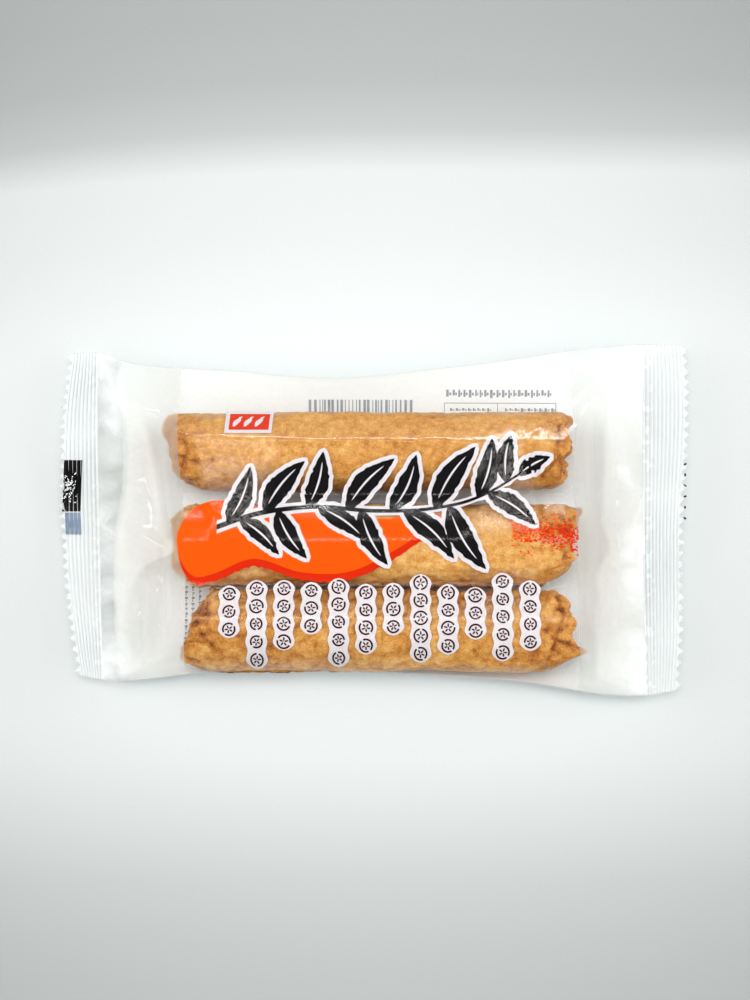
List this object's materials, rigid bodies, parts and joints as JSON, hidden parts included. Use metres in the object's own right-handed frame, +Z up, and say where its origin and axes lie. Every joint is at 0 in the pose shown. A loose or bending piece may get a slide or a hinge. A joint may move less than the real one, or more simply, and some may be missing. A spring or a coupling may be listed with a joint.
{
  "type": "pack of burdock fish cake rolls",
  "caption": "Sealed clear pillow bag, lying flat, drawn tight over long fried burdock fish cake rolls, with crimped end seals and a folded back seam.",
  "frame": {"origin": "on the surface that the bag lies on, under the middle of its outline", "axes": "+X along the bag and the rolls, towards the right seal; +Y across it, towards the far fold; +Z up, out of the front panel"},
  "size_m": [0.1591, 0.0885, 0.0204],
  "materials": {
    "clear_film": "clear glossy laminate",
    "white_print": "white ink inside a glossy laminate",
    "colour_print": "coloured ink inside a glossy laminate",
    "fried_fish_cake": "oily fried skin, golden brown"
  },
  "bodies": {
    "root": {"film_bag": "clear_film"}
  },
  "joints": []
}
